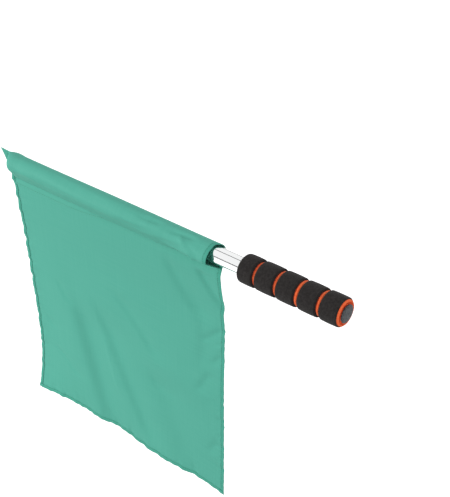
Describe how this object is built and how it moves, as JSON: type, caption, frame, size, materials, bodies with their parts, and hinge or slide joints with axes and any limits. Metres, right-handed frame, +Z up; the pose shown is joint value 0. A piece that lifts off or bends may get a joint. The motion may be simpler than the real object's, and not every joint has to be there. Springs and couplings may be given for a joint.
{
  "type": "hand flag",
  "caption": "Hand flag: a green cloth whose sewn pocket slips over a steel tube, with a plug in each end and a grooved two-colour foam grip.",
  "frame": {"origin": "on the tube's axis, at the middle of the grip's third collar", "axes": "+X along the tube towards the grip's butt, -X towards the cloth's closed tip, +Z up with the cloth hanging down, -Y the side of the pocket's front layer"},
  "size_m": [0.5074, 0.0387, 0.366],
  "materials": {
    "polished_steel": "mirror-polished stainless steel tube",
    "dark_plastic": "moulded polyethylene, satin",
    "orange_foam": "closed-cell EVA foam, matt",
    "black_foam": "closed-cell EVA foam, matt",
    "green_cloth": "plain-woven dyed polyester"
  },
  "bodies": {
    "staff": {"pole_tube": "polished_steel", "tip_plug": "dark_plastic", "butt_cap": "dark_plastic", "grip_core": "orange_foam", "grip_collar_1": "black_foam", "grip_collar_2": "black_foam", "grip_collar_3": "black_foam", "grip_collar_4": "black_foam", "grip_collar_5": "black_foam"},
    "pocket": {"flag_pocket": "green_cloth"},
    "panel": {"flag_panel": "green_cloth"}
  },
  "joints": [
    {"name": "flag_turn", "type": "hinge", "parent": "staff", "child": "pocket", "pos_m": [-0.26, 0, 0], "axis": [1, 0, 0], "continuous": true},
    {"name": "panel_swing", "type": "hinge", "parent": "pocket", "child": "panel", "pos_m": [-0.262, 0.003, -0.0295], "axis": [1, 0, 0], "range_deg": [-120, 120]}
  ]
}
